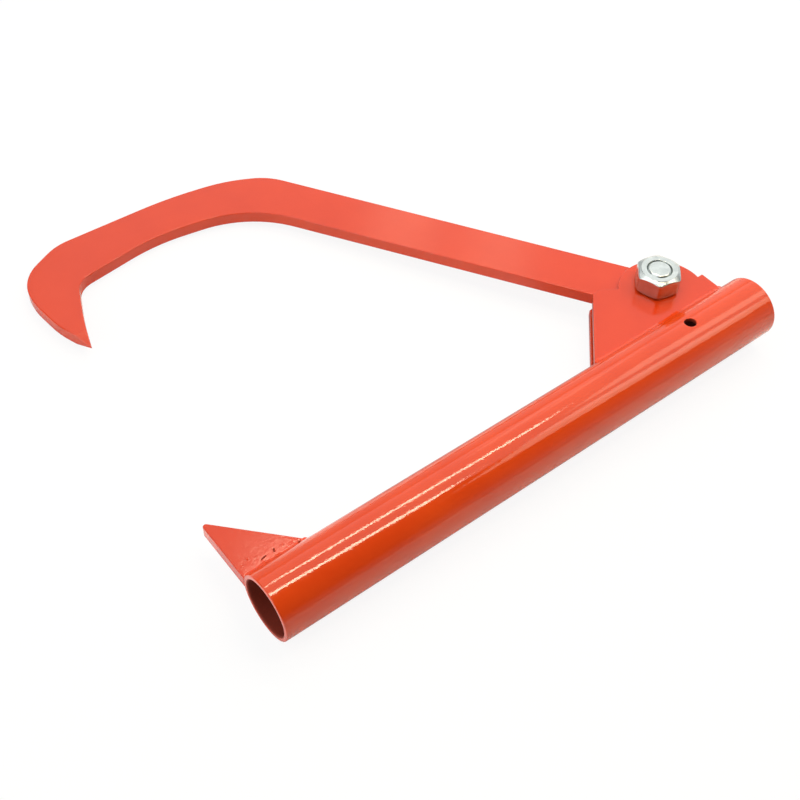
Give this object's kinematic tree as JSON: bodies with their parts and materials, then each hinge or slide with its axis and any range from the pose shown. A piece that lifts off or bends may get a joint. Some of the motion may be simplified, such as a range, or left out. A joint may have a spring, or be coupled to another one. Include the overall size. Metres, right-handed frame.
{
  "type": "cant hook",
  "caption": "Cant hook head: open steel handle socket with a welded triangular toe, an eared bracket, and a pointed plate hook that swings on a bolt to grip and roll a log.",
  "frame": {"origin": "centre of the handle socket's mouth, at the bracket end of the tube", "axes": "+X out of the mouth along the handle, +Y from the socket to the hook's side, +Z along the pivot bolt towards its nut"},
  "size_m": [0.42, 0.3687, 0.0525],
  "materials": {
    "socket_coat": "glossy powder coat",
    "plate_coat": "satin powder coat",
    "weld_coat": "powder coat over a weld bead",
    "zinc_plate": "bright zinc plating"
  },
  "bodies": {
    "head": {"socket_tube": "socket_coat", "upper_ear": "plate_coat", "lower_ear": "plate_coat", "toe_plate": "plate_coat", "pivot_bolt": "zinc_plate", "pivot_nut": "zinc_plate", "upper_ear_weld": "weld_coat", "lower_ear_weld": "weld_coat", "upper_toe_weld": "weld_coat", "lower_toe_weld": "weld_coat"},
    "hook": {"hook_arm": "plate_coat"}
  },
  "joints": [
    {"name": "hook_swing", "type": "hinge", "parent": "head", "child": "hook", "pos_m": [-0.05, 0.049, 0], "axis": [0, 0, 1], "range_deg": [-130.5, 42]}
  ]
}
